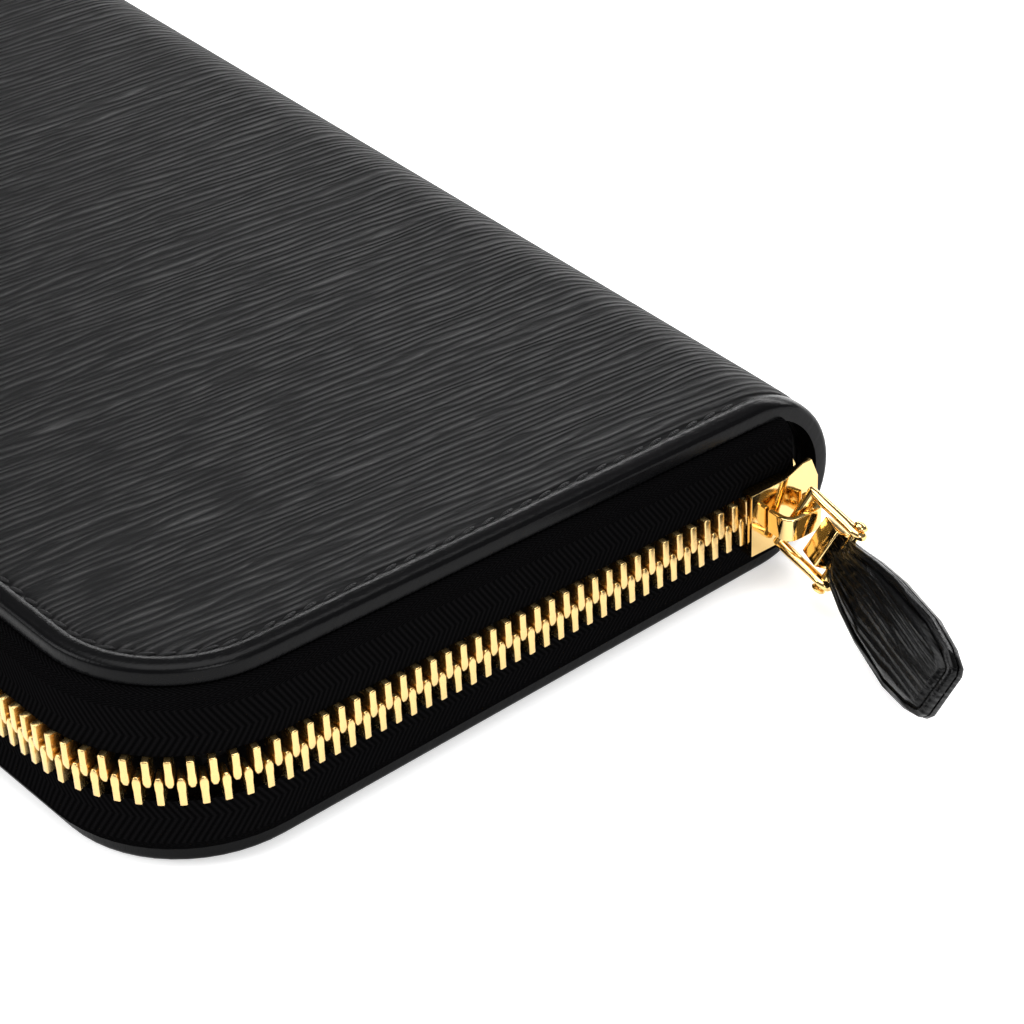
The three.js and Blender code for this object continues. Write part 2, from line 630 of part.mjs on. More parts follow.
// ---- gussets: one folded sheet between each half and the coin section, at both ends ------------------
function gusset(end, z0, z1) {
  const x0 = HALF_L - COIN_INSET_X;
  const fold = x0 - GUSSET_FOLD;
  const middle = (z0 + z1) / 2;
  const t = GUSSET_T / 2;
  const shape = new THREE.Shape();
  shape.moveTo(x0, z0);
  shape.lineTo(x0, z0 + 2 * t);
  shape.lineTo(fold + 2, middle);
  shape.lineTo(x0, z1 - 2 * t);
  shape.lineTo(x0, z1);
  shape.lineTo(fold, middle + t);
  shape.lineTo(fold, middle - t);
  shape.closePath();
  const depth = DEPTH - GUSSET_FRONT_INSET - GUSSET_BACK_INSET;
  const geometry = extruded(shape, depth);
  geometry.rotateX(Math.PI / 2).translate(0, HALF_D - GUSSET_BACK_INSET, 0);
  if (end < 0) geometry.rotateZ(Math.PI).translate(0, -GUSSET_BACK_INSET + GUSSET_FRONT_INSET, 0);
  return geometry;
}

function buildGussets() {
  const low = [STACK_T + GAP, COIN_Z - GAP];
  for (const [end, side] of [[1, 'right'], [-1, 'left']]) {
    const sheet = gusset(end, ...low);
    add(`back_gusset_${side}`, wedged(sheet.clone()), LINING);
    add(`front_gusset_${side}`, wedged(flipped(sheet)), LINING);
  }
}

// ---- coin section -----------------------------------------------------------------------------------
const coinWall = () => box(-COIN_X, COIN_X, COIN_Y0, COIN_Y1, COIN_Z, COIN_Z + COIN_WALL_T);

function coinSideStrip() {
  const z0 = COIN_INNER_Z;
  const z1 = SPINE_THICKNESS - COIN_INNER_Z;
  const y0 = COIN_Y0 + COIN_TAPE_W + GAP;
  const w = COIN_STRIP_W;
  return cut(box(-COIN_X, COIN_X, y0, COIN_Y1, z0, z1),
    box(-COIN_X + w, COIN_X - w, y0 - 1, COIN_Y1 - w, z0 - 1, z1 + 1));
}

const coinTape = () => box(-COIN_X, COIN_X, COIN_Y0, COIN_Y0 + COIN_TAPE_W, COIN_INNER_Z,
  COIN_INNER_Z + TAPE_T);

// One half of the coin zip's coil, up to the slider's neck.
function coinCoil() {
  const end = COIN_SLIDER_X + COIN_SLIDER_LENGTH / 2 - COIN_NECK_LENGTH - 2 * GAP;
  return box(-COIN_ZIP_X + COIN_STOP_W + GAP, end, COIL_Y - COIL_DEPTH / 2, COIL_Y + COIL_DEPTH / 2,
    COIN_INNER_Z, SPINE_R - GAP / 2);
}

function coinStop(x0) {
  return box(x0, x0 + COIN_STOP_W, COIL_Y - COIL_DEPTH / 2, COIL_Y + COIL_DEPTH / 2,
    COIN_INNER_Z, SPINE_THICKNESS - COIN_INNER_Z);
}

function buildCoinSection() {
  add('coin_back_wall', wedged(coinWall()), LINING);
  add('coin_front_wall', wedged(flipped(coinWall())), LINING);
  add('coin_side_strip', wedged(coinSideStrip()), LINING);
  add('coin_tape_back', wedged(coinTape()), TAPE);
  add('coin_tape_front', wedged(flipped(coinTape())), TAPE);
  add('coin_coil_back', wedged(coinCoil()), TAPE);
  add('coin_coil_front', wedged(flipped(coinCoil())), TAPE);
  add('coin_stop_left', wedged(coinStop(-COIN_ZIP_X)), GOLD);
  add('coin_stop_right', wedged(coinStop(COIN_ZIP_X)), GOLD);
}

// Local frame: X along the zip, Y inwards from the middle of the coil, Z across it.
function coinSliderBody() {
  const half = COIN_SLIDER_LENGTH / 2;
  const face = COIL_DEPTH / 2 + GAP;
  const coilHalf = SPINE_R - COIN_INNER_Z;
  const inside = coilHalf - TAPE_T - GAP;
  const outer = box(-half, half, -face - COIN_PLATE_T, -face, -COIN_SLIDER_HALF, COIN_SLIDER_HALF);
  const inner = box(-half, half, face, face + COIN_PLATE_T, -inside, inside);
  const neck = box(half - COIN_NECK_LENGTH, half, -face - COIN_PLATE_T, face + COIN_PLATE_T,
    -COIN_NECK_HALF, COIN_NECK_HALF);
  const lips = [COIN_SLIDER_HALF - COIN_LIP_T, -COIN_SLIDER_HALF]
    .map((z) => box(-half, half, -face - COIN_PLATE_T, COIL_DEPTH / 2 - GAP, z, z + COIN_LIP_T));
  return join(outer, inner, neck, ...lips);
}

function coinSliderCrown() {
  const half = COIN_CROWN_HALF;
  const rise = 2 * COIN_TAG_RISE + GAP + COIN_CROWN_T;
  const w = COIN_CROWN_WIDTH / 2;
  const block = box(-half, half, -rise, 0, -w, w);
  return cut(block, box(-half + COIN_CROWN_T, half - COIN_CROWN_T, -rise + COIN_CROWN_T, 1, -w - 1, w + 1));
}

function coinTag() {
  const t = COIN_TAG_T / 2;
  const bar = COIN_TAG_BAR / 2;
  const plate = box(-COIN_TAG_LENGTH, bar, -t, t, -COIN_TAG_HALF, COIN_TAG_HALF);
  const side = COIN_CROWN_WIDTH / 2 + 2 * GAP;
  return cut(plate, box(-COIN_TAG_WINDOW, -bar, -t - 1, t + 1, -side, side));
}

function buildCoinSlider() {
  const group = new THREE.Group();
  group.position.set(COIN_SLIDER_X, COIL_Y, lifted(COIL_Y, SPINE_R));
  add('coin_slider_body', coinSliderBody(), GOLD, group);
  const face = -COIL_DEPTH / 2 - GAP - COIN_PLATE_T;
  add('coin_slider_crown', coinSliderCrown(), GOLD, group).position.y = face - GAP;
  add('coin_pull_tag', coinTag(), GOLD, group).position.y = face - GAP - COIN_TAG_RISE;
  wallet.add(group);
}

buildHalf('back', wedged);
buildHalf('front', (geometry) => wedged(flipped(geometry)));
buildZip();
buildSlider();
buildPull();
buildGussets();
buildCoinSection();
buildCoinSlider();

export default wallet;
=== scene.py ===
"""A long zip around wallet: embossed leather covers, gold zip, leather pull, and the inside behind them."""
import bmesh
import bpy
import math
from mathutils import Matrix, Vector


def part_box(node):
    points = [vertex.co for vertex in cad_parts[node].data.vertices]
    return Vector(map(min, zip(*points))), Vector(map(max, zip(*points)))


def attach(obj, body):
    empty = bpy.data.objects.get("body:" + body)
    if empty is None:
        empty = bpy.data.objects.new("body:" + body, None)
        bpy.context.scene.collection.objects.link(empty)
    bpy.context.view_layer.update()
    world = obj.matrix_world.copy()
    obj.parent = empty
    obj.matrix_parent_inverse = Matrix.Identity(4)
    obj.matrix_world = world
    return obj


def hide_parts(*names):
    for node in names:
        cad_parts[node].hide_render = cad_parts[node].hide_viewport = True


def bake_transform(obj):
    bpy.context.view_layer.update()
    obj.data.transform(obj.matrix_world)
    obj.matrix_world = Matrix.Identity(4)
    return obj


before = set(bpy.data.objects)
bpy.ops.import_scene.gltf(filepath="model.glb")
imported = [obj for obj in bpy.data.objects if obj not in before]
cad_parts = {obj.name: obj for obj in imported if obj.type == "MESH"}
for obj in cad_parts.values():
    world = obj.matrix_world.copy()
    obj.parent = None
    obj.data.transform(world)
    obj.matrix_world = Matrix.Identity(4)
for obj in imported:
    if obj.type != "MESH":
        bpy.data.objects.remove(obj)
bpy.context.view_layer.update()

MM = 0.001
cover_low, cover_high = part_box("back_cover_leather")
END_X = cover_high[0] / MM               # half the wallet's length
OPENING_Y = cover_low[1] / MM
SPINE_Y = cover_high[1] / MM
SPINE_R = 11.75                          # radius of the spine's round
SPINE_TURN = SPINE_Y - SPINE_R           # where the spine starts to turn
SPINE_T = 2 * SPINE_R                    # closed thickness at the spine
BEND_START = SPINE_TURN - 2.25           # where the leather starts to bend as the wallet opens
CORNER_R = 18.0
WEDGE = math.tan(math.radians(3))        # how fast the front cover climbs towards the opening
EDGE_T, SKIN_T, EDGE_BAND = 2.4, 1.4, 9.0    # leather at the rim, elsewhere, and the rim's inner width
RIM_WALL = 0.95                          # height of the rim's rounded shoulder
TAPE_Z, TAPE_PAST = 2.7, 3.75            # height of the tape's seam, and how far it runs past the turn
TAPE_LIP = 0.7                           # part of the tape that is sewn in starts this far inside
CHAIN_HALF, CHAIN_U, TOOTH_PITCH = 3.2, 1.7, 2.25
CHAIN_SPINE_Z, CHAIN_CLIMB = 10.5, 0.038
SLIDER_Y, PIVOT_X = 41.0, 103.6
STITCH_IN, STITCH_PITCH = 3.05, 2.9
STITCH_HALF, STITCH_SINK, STITCH_LEAN = (1.15, 0.3, 0.24), 0.16, 0.2
TOOTH_W, TOOTH_DEPTH = 0.92, 2.5         # along the chain and through it
LEG_H, SHOULDER_H, HEAD_H, TIP_H = 1.9, 0.55, 0.75, 0.7      # a tooth, from the tape to its tip
TAPE_FOLD = 2.0                          # height where the tape turns from its seam to the chain
PULL_YAW, PULL_DROOP, PULL_TILT, TAB_YAW = (math.radians(a) for a in (2, 17, -31, -22))
PIN_X, ARM_OUT = 7.9, 3.95               # pivot to pin, and the middle of each stirrup arm
BAR_R, BAR_END = 0.7, 4.2                # the stirrup's bar, which ends inside the arms
STRAIGHT_STEPS, ROUND_STEPS, BAR_SIDES = 12, 14, 16

# Stepping in from the edge of a cover: (width, rise) of each ring, with the stitch groove after the roll.
RIM_RINGS = [(0.06, 0.3), (0.18, 0.28), (0.34, 0.22), (0.5, 0.12), (0.7, 0.05), (0.7, -0.01),
             (0.25, -0.2), (0.22, -0.04), (0.22, 0.04), (0.28, 0.18), (0.5, 0.08),
             (1.6, 0.04), (6.0, 0.04)]

# The same for a leather of the pull: a bevelled border, a groove and the padded field.
TAB_RINGS = [(0.1, 0.22), (0.22, 0.16), (0.34, 0.06), (0.15, -0.24), (0.12, 0.0), (0.15, 0.3),
             (0.22, 0.28), (0.25, 0.16), (0.2, 0.05)]

# The tape in section: (outside the cover's edge, above the seam), out along one face and back.
TAPE_SECTION = [(-8.0, 0.0), (-0.6, 0.0), (0.35, 0.05), (1.0, 0.3), (1.5, 0.9), (1.82, 1.9), (1.95, 3.0),
                (1.45, 3.0), (1.35, 2.1), (1.05, 1.3), (0.6, 0.8), (0.0, 0.55), (-0.6, 0.5), (-8.0, 0.5)]

# A stirrup arm from its bar to its eye: (along, half the height, half the width).
ARM_STATIONS = [(-0.7, 0.2, 0.2), (-0.6, 0.45, 0.45), (-0.2, 0.64, 0.6), (0.6, 0.72, 0.66),
                (2.4, 0.98, 0.66), (6.2, 1.02, 0.66), (6.9, 1.15, 0.66), (7.6, 1.24, 0.66),
                (8.1, 1.24, 0.66), (8.7, 1.02, 0.62), (9.1, 0.65, 0.48), (9.3, 0.25, 0.25)]

# Half of the stirrup's pin, from under its head to the top of the dome.
PIN_STATIONS = [(4.66, 0.6, 0.6), (4.7, 0.8, 0.8), (4.82, 0.95, 0.95), (5.0, 0.95, 0.95),
                (5.2, 0.78, 0.78), (5.33, 0.45, 0.45), (5.38, 0.15, 0.15)]


# ---- the wallet's own lines ---------------------------------------------------------------------
def wedge_share(z):
    """How much of the wedge a height takes up: none at the back cover, all of it at the front cover."""
    stops = [(6.35, 0.0), (8.75, 0.5), (14.75, 0.5), (17.15, 1.0)]
    if z <= stops[0][0]:
        return 0.0
    for (z0, s0), (z1, s1) in zip(stops, stops[1:]):
        if z <= z1:
            return s0 + (s1 - s0) * (z - z0) / (z1 - z0)
    return 1.0


def lifted(y, z):
    return z + (SPINE_Y - y) * WEDGE * wedge_share(z)


def chain_z(y):
    """Height of the chain's middle: it climbs a little from the spine to the opening."""
    return CHAIN_SPINE_Z + (SPINE_Y - y) * CHAIN_CLIMB


ARC_X, ARC_Y = END_X - CORNER_R, OPENING_Y + CORNER_R     # middle of a round corner
STRAIGHT, QUARTER = SPINE_Y - ARC_Y, math.pi / 2 * CORNER_R
EDGE_RUN = 2 * (STRAIGHT + QUARTER + ARC_X)               # the whole edge, without the spine


def round_edge(x, y):
    """Distance run along the cover's edge from the spine, and the distance outside that edge."""
    if y < ARC_Y and abs(x) <= ARC_X:
        return STRAIGHT + QUARTER + ARC_X - x, OPENING_Y - y
    if y >= ARC_Y:
        run, out = SPINE_Y - y, abs(x) - END_X
    else:
        dx, dy = abs(x) - ARC_X, ARC_Y - y
        run, out = STRAIGHT + math.atan2(dy, dx) * CORNER_R, math.hypot(dx, dy) - CORNER_R
    return (run if x >= 0 else EDGE_RUN - run), out


def on_edge(run, out):
    """The point a distance along the cover's edge and outside it, with the outward direction there."""
    mirrored = run > EDGE_RUN / 2
    s = EDGE_RUN - run if mirrored else run
    if s < STRAIGHT:
        point, away = (END_X, SPINE_Y - s), (1.0, 0.0)
    elif s < STRAIGHT + QUARTER:
        a = (s - STRAIGHT) / CORNER_R
        away = (math.cos(a), -math.sin(a))
        point = (ARC_X + CORNER_R * away[0], ARC_Y + CORNER_R * away[1])
    else:
        point, away = (ARC_X - (s - STRAIGHT - QUARTER), OPENING_Y), (0.0, -1.0)
    x, y = point[0] + away[0] * out, point[1] + away[1] * out
    return (-x, y, -away[0], away[1]) if mirrored else (x, y, away[0], away[1])


# ---- working with pieces ------------------------------------------------------------------------
def put_down():
    if bpy.context.object and bpy.context.object.mode != "OBJECT":
        bpy.ops.object.mode_set(mode="OBJECT")
    bpy.ops.object.select_all(action="DESELECT")


def take(piece):
    put_down()
    piece.select_set(True)
    bpy.context.view_layer.objects.active = piece
    return piece


def named(name):
    piece = bpy.context.object
    piece.name = name
    piece.data.name = name
    return piece


def choose(piece, kind, test):
    """In edit mode, selects the faces, edges or points whose middle passes the test."""
    if bpy.context.object is not piece or piece.mode != "EDIT":
        take(piece)
        bpy.ops.object.mode_set(mode="EDIT")
    bpy.ops.mesh.select_mode(type=kind)
    bpy.ops.mesh.select_all(action="DESELECT")
    cage = bmesh.from_edit_mesh(piece.data)
    for item in {"VERT": cage.verts, "EDGE": cage.edges, "FACE": cage.faces}[kind]:
        if kind == "VERT":
            chosen = test(item.co)
        elif kind == "EDGE":
            chosen = all(test(v.co) for v in item.verts)
        else:
            chosen = test(item.calc_center_median(), item.normal)
        if chosen:
            item.select_set(True)
    cage.select_flush_mode()
    bmesh.update_edit_mesh(piece.data)


def finish_edit(piece, outwards=False):
    if outwards:
        if piece.mode != "EDIT":
            take(piece)
            bpy.ops.object.mode_set(mode="EDIT")
        bpy.ops.mesh.select_all(action="SELECT")
        bpy.ops.mesh.remove_doubles(threshold=1e-6)
        bpy.ops.mesh.normals_make_consistent(inside=False)
    bpy.ops.object.mode_set(mode="OBJECT")
    return piece


def settle(piece):
    """Bakes the piece's place into its mesh."""
    take(piece)
    bpy.ops.object.transform_apply(location=True, rotation=True, scale=True)
    return piece


def add_modifier(piece, kind, **settings):
    take(piece)
    modifier = piece.modifiers.new(kind.title(), kind)
    for name, value in settings.items():
        setattr(modifier, name, value)
    bpy.ops.object.modifier_apply(modifier=modifier.name)
    return piece


def soften(piece, width, segments=2, angle=30):
    return add_modifier(piece, "BEVEL", width=width * MM, segments=segments, limit_method="ANGLE",
                        angle_limit=math.radians(angle), harden_normals=False)


def smooth(piece, angle=35):
    take(piece)
    bpy.ops.object.shade_smooth_by_angle(angle=math.radians(angle))
    return piece


def reshape(piece, move):
    """Moves every point of the mesh: move takes and gives millimetres."""
    for v in piece.data.vertices:
        v.co = Vector(move(*(v.co / MM))) * MM
    piece.data.update()
    return piece


def turn_over(piece):
    """Turns every face round after the piece was mirrored."""
    take(piece)
    bpy.ops.object.mode_set(mode="EDIT")
    bpy.ops.mesh.select_all(action="SELECT")
    bpy.ops.mesh.flip_normals()
    bpy.ops.object.mode_set(mode="OBJECT")
    return piece


def in_back(piece):
    """From flat, outer face up at height 0, to the back cover's place."""
    return turn_over(reshape(piece, lambda x, y, z: (x, y, lifted(y, -z))))


def in_front(piece):
    return reshape(piece, lambda x, y, z: (x, y, lifted(y, SPINE_T + z)))


def attribute(piece, name, value):
    layer = piece.data.attributes.new(name, "FLOAT", "POINT")
    for v in piece.data.vertices:
        layer.data[v.index].value = value(*(v.co / MM))


def lay_uv(piece, where):
    """Lays a map in millimetres over the piece; where gives a point's place on it."""
    layer = piece.data.uv_layers.new(name="lie")
    spots = [where(*(v.co / MM)) for v in piece.data.vertices]
    for corner in piece.data.loops:
        layer.data[corner.index].uv = spots[corner.vertex_index]


def copies(name, model, places):
    """One mesh that holds a copy of the model at each place."""
    take(model)
    made = []
    for place in places:
        one = bpy.data.objects.new(name, model.data.copy())
        one.data.transform(place)
        bpy.context.collection.objects.link(one)
        made.append(one)
    put_down()
    for one in made:
        one.select_set(True)
    bpy.context.view_layer.objects.active = made[0]
    bpy.ops.object.join()
    bpy.data.objects.remove(model)
    return named(name)


def merged_copy(node, name):
    """A merged copy of a plain solid, ready for finer work."""
    piece = bpy.data.objects.new(name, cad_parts[node].data.copy())
    bpy.context.collection.objects.link(piece)
    piece.data.materials.clear()
    take(piece)
    bpy.ops.object.mode_set(mode="EDIT")
    bpy.ops.mesh.select_all(action="SELECT")
    bpy.ops.mesh.remove_doubles(threshold=2e-6)
    bpy.ops.mesh.dissolve_limited(angle_limit=math.radians(1.0))
    bpy.ops.object.mode_set(mode="OBJECT")
    return piece


def dress(piece, finish):
    piece.data.materials.clear()
    piece.data.materials.append(finish)
    return piece


# ---- finishes -----------------------------------------------------------------------------------
def sum_of(operation, turned=False):
    def made(self, other):
        return self.sum(operation, other, self) if turned else self.sum(operation, self, other)
    return made


class Value:
    """A shader socket that takes part in ordinary sums."""

    def __init__(self, finish, socket):
        self.finish, self.socket = finish, socket

    def sum(self, operation, first, second=None):
        values = {0: first} if second is None else {0: first, 1: second}
        return self.finish.node("Math", {"operation": operation}, values)

    __add__, __radd__ = sum_of("ADD"), sum_of("ADD", turned=True)
    __sub__, __rsub__ = sum_of("SUBTRACT"), sum_of("SUBTRACT", turned=True)
    __mul__, __rmul__ = sum_of("MULTIPLY"), sum_of("MULTIPLY", turned=True)
    __truediv__, __rtruediv__ = sum_of("DIVIDE"), sum_of("DIVIDE", turned=True)

    def __abs__(self):
        return self.sum("ABSOLUTE", self)

    def wave(self):
        """1 on every whole number and 0 half way between."""
        return (self * (2 * math.pi)).cosine() * 0.5 + 0.5

    def cosine(self):
        return self.sum("COSINE", self)

    def part(self):
        return self.sum("FRACT", self)


class Finish:
    """A material in the making."""

    def __init__(self, name, colour, roughness, **uniform):
        self.material = bpy.data.materials.new(name)
        self.material.use_nodes = True
        self.tree = self.material.node_tree
        self.shader = next(n for n in self.tree.nodes if n.type == "BSDF_PRINCIPLED")
        self.shader.inputs["Base Color"].default_value = (*colour, 1)
        self.shader.inputs["Roughness"].default_value = roughness
        for socket, value in uniform.items():
            self.shader.inputs[socket.replace("_", " ")].default_value = value
        self.material.diffuse_color = (*colour, 1)

    def node(self, kind, settings=None, values=None, out=0):
        made = self.tree.nodes.new("ShaderNode" + kind)
        for name, value in (settings or {}).items():
            if name == "stops":
                ramp = made.color_ramp.elements
                while len(ramp) < len(value):
                    ramp.new(0.5)
                for stop, (place, shade) in zip(ramp, value):
                    stop.position, stop.color = place, (shade, shade, shade, 1)
            else:
                setattr(made, name, value)
        for socket, value in (values or {}).items():
            if isinstance(value, Value):
                self.tree.links.new(value.socket, made.inputs[socket])
            else:
                made.inputs[socket].default_value = value
        return Value(self, made.outputs[out])

    def feed(self, socket, value):
        self.tree.links.new(value.socket, self.shader.inputs[socket])

    def place(self):
        """Across, along and up in millimetres, from Object coordinates."""
        spot = self.node("TexCoord", out="Object")
        split = [self.node("SeparateXYZ", None, {0: spot}, out=i) for i in range(3)]
        return [part * 1000 for part in split]

    def lie(self):
        """The two directions of the piece's own map, in millimetres."""
        spot = self.node("UVMap", {"uv_map": "lie"})
        return [self.node("SeparateXYZ", None, {0: spot}, out=i) for i in range(2)]

    def noise(self, x, y, z=0.0, detail=2.0, rough=0.5):
        spot = self.node("CombineXYZ", None, {0: x, 1: y, 2: z})
        return self.node("TexNoise", None, {"Vector": spot, "Scale": 1.0, "Detail": detail,
                                            "Roughness": rough})

    def ramp(self, value, *stops):
        return self.node("ValToRGB", {"stops": stops}, {0: value})

    def between(self, share, first, second):
        """Two colours mixed by a share."""
        return self.node("Mix", {"data_type": "RGBA"},
                         {0: share, 6: (*first, 1), 7: (*second, 1)}, out=2)

    def relief(self, height, depth, strength=1.0):
        self.feed("Normal", self.node("Bump", None, {"Height": height, "Strength": strength,
                                                     "Distance": depth * MM}))


def ribs(f, across, along, pitch):
    """Long irregular ridges side by side: they wander, fork and fade, 0 in the valleys to 1 on top."""
    wander = f.noise(across * 0.1, along * 0.012, detail=2.0) - 0.5
    wobble = f.noise(across * 0.45, along * 0.07, 7.0, detail=1.0) - 0.5
    phase = across / pitch + wander * 3.6 + wobble * 1.3
    wave = phase.wave()
    fade = f.ramp(f.noise(across * 0.7, along * 0.13, 3.0, detail=1.0), (0.32, 0.25), (0.58, 1.0))
    return wave * fade


def embossed_leather():
    f = Finish("embossed_leather", (0.0085, 0.0085, 0.0092), 0.42, Specular_IOR_Level=0.08)
    x, y, z = f.place()
    along = y * 0.998 + x * 0.06 - z
    across = x * 0.998 - y * 0.06
    ridge = ribs(f, across, along, 1.08)
    fine = f.noise(across * 3.2, along * 0.6, 1.0, detail=3.0, rough=0.6)
    edge = f.node("Attribute", {"attribute_name": "edge"}, out="Fac")
    inside = f.ramp(edge / 10, (0.25, 0.0), (0.36, 1.0))
    buckle = f.noise(x * 0.05, y * 0.05, detail=1.0)
    height = inside * (ridge * 0.8 + fine * 0.25) + (1 - inside) * fine * 0.16 + buckle * 1.2
    f.relief(height, 0.3)
    wear = f.noise(x * 0.03, y * 0.03, 5.0, detail=2.0)
    f.feed("Roughness", (0.5 - ridge * 0.13 + fine * 0.1) * inside + (1 - inside) * (0.2 + fine * 0.08)
           + wear * 0.06 - 0.03)
    # Ridge tops are painted lighter in the base colour: a painted highlight on the grain. The wear noise
    # adds a random tone, and the rim band has no ridges, so it keeps the dark colour.
    painted_ridge_highlight = f.ramp(ridge, (0.35, 0.0), (0.95, 1.0))
    f.feed("Base Color", f.between((painted_ridge_highlight * 0.85 + wear * 0.15) * inside, (0.0025, 0.0025, 0.0028),
                                   (0.029, 0.0285, 0.029)))
    return f.material


def tab_leather():
    f = Finish("pull_leather", (0.004, 0.004, 0.0045), 0.2, Specular_IOR_Level=0.12, Coat_Weight=0.1,
               Coat_Roughness=0.06)
    u, v = f.lie()
    ridge = ribs(f, v, u, 0.85)
    fine = f.noise(v * 5.0, u * 1.1, 2.0, detail=3.0)
    f.relief(ridge * 0.85 + fine * 0.3, 0.22)
    f.feed("Roughness", 0.24 - ridge * 0.12 + fine * 0.1)
    # Ridge tops are painted slightly lighter in the base colour: a painted highlight on the grain.
    f.feed("Base Color", f.between(ridge, (0.0006, 0.0006, 0.0007), (0.003, 0.003, 0.0033)))
    return f.material


def plain_leather(name, low, high, roughness=0.5, scale=1.5):
    """Fine pebbled leather for the inside of the wallet."""
    f = Finish(name, low, roughness, Specular_IOR_Level=0.4)
    x, y, z = f.place()
    spot = f.node("CombineXYZ", None, {0: x * scale, 1: y * scale, 2: z * scale})
    cells = f.node("TexVoronoi", {"feature": "DISTANCE_TO_EDGE"}, {"Vector": spot, "Scale": 1.0})
    pebble = f.ramp(cells, (0.0, 0.0), (0.28, 1.0))
    wear = f.noise(x * 0.06, y * 0.06, z * 0.06, detail=3.0)
    f.relief(pebble * 0.8 + f.noise(x * 4, y * 4, z * 4) * 0.3, 0.06)
    f.feed("Roughness", roughness - pebble * 0.08 + wear * 0.12)
    f.feed("Base Color", f.between(wear * 0.6 + pebble * 0.4, low, high))
    return f.material


def herringbone_tape():
    """Woven zip tape: chevrons of slanting ribs, thread by thread."""
    f = Finish("zip_tape", (0.002, 0.0019, 0.0021), 0.9, Specular_IOR_Level=0.0)
    u, v = f.lie()
    column = abs((v / 3.2).part() - 0.5) * 3.2
    rib = ((u + column * 1.3) / 0.8).wave()
    thread = (v / 0.32).wave()
    fuzz = f.noise(u * 6, v * 6, detail=2.0)
    f.relief(rib * 0.7 + thread * 0.3 + fuzz * 0.25, 0.13)
    f.feed("Base Color", f.between(rib * 0.8 + fuzz * 0.2, (0.001, 0.001, 0.0011),
                                   (0.0042, 0.004, 0.0043)))
    f.feed("Roughness", 0.9 - rib * 0.25)
    return f.material


def gold(name, colour, roughness, swirl):
    f = Finish(name, colour, roughness, Metallic=1.0)
    x, y, z = f.place()
    rub = f.noise(x * 1.2, y * 1.2, z * 1.2, detail=3.0)
    f.feed("Roughness", rub * swirl + (roughness - swirl / 2))
    f.feed("Base Color", f.between(rub, colour, tuple(c * 0.93 for c in colour)))
    f.relief(rub, 0.03, 0.35)
    return f.material


def twisted_thread():
    f = Finish("stitching_thread", (0.007, 0.007, 0.0075), 0.5, Specular_IOR_Level=0.2)
    x, y, z = f.place()
    ply = ((x + y + z * 2) / 0.28).wave()
    f.relief(ply, 0.05)
    f.feed("Roughness", 0.6 - ply * 0.2)
    return f.material


def nylon_coil():
    f = Finish("nylon_coil", (0.008, 0.008, 0.009), 0.38)
    x, y, z = f.place()
    f.relief(f.noise(x * 8, y * 8, z * 8), 0.03)
    f.feed("Roughness", 0.34 + f.noise(x * 0.3, y * 0.3, z * 0.3) * 0.12)
    return f.material


def grey_board():
    f = Finish("grey_board", (0.14, 0.125, 0.1), 0.9)
    x, y, z = f.place()
    fibre = f.noise(x * 2.5, y * 2.5, z * 2.5, detail=4.0)
    f.relief(fibre, 0.08)
    f.feed("Base Color", f.between(fibre, (0.11, 0.1, 0.08), (0.18, 0.16, 0.13)))
    return f.material


def studio_floor():
    f = Finish("studio_floor", (0.93, 0.93, 0.93), 0.7, Specular_IOR_Level=0.2, Emission_Strength=0.5)
    f.shader.inputs["Emission Color"].default_value = (1, 1, 1, 1)
    x, y, _ = f.place()
    f.feed("Roughness", 0.66 + f.noise(x * 0.02, y * 0.02) * 0.08)
    return f.material


LEATHER = embossed_leather()
TAB = tab_leather()
TAPE = herringbone_tape()
GOLD = gold("polished_gold", (0.82, 0.57, 0.235), 0.1, 0.05)
TEETH_GOLD = gold("tooth_gold", (0.72, 0.5, 0.21), 0.26, 0.1)
THREAD = twisted_thread()
COIL = nylon_coil()
BOARD = grey_board()
LINING = plain_leather("lining_leather", (0.008, 0.008, 0.009), (0.016, 0.016, 0.017), 0.55, 2.0)
PANEL = plain_leather("card_panel_leather", (0.009, 0.009, 0.01), (0.018, 0.018, 0.02), 0.45, 1.4)
CLOTH = plain_leather("pocket_cloth", (0.006, 0.006, 0.007), (0.011, 0.011, 0.012), 0.85, 3.5)


# ---- camera and studio --------------------------------------------------------------------------
def set_camera():
    """Low over the slider's corner; scale is in points for each millimetre at the target."""
    azimuth, elevation, roll = (math.radians(a) for a in (52.69, 35.93, 3.93))
    distance, scale, sensor, frame_width = 499.88, 8.07, 36, 1024
    target = Vector((79.5, 15.49, 12.0)) * MM
    back = Vector((math.sin(azimuth) * math.cos(elevation), -math.cos(azimuth) * math.cos(elevation),
                   math.sin(elevation)))
    right = Vector((math.cos(azimuth), math.sin(azimuth), 0))
    up = back.cross(right)
    right, up = (right * math.cos(roll) - up * math.sin(roll),
                 right * math.sin(roll) + up * math.cos(roll))
    camera = bpy.data.objects.new("camera", bpy.data.cameras.new("camera"))
    bpy.context.collection.objects.link(camera)
    turned = Matrix((right, up, back)).transposed().to_4x4()
    camera.matrix_world = Matrix.Translation(target + back * distance * MM) @ turned
    camera.data.sensor_width = sensor
    camera.data.lens = sensor * scale * distance / frame_width
    camera.data.clip_start, camera.data.clip_end = 0.02, 20
    bpy.context.scene.camera = camera


def soft_light(name, place, aim, size, power, tall=None):
    light = bpy.data.lights.new(name, "AREA")
    light.energy, light.size = power, size
    if tall:
        light.shape, light.size_y = "RECTANGLE", tall
    holder = bpy.data.objects.new(name, light)
    bpy.context.collection.objects.link(holder)
    holder.location = place
    holder.rotation_euler = (Vector(aim) - Vector(place)).to_track_quat("-Z", "Y").to_euler()


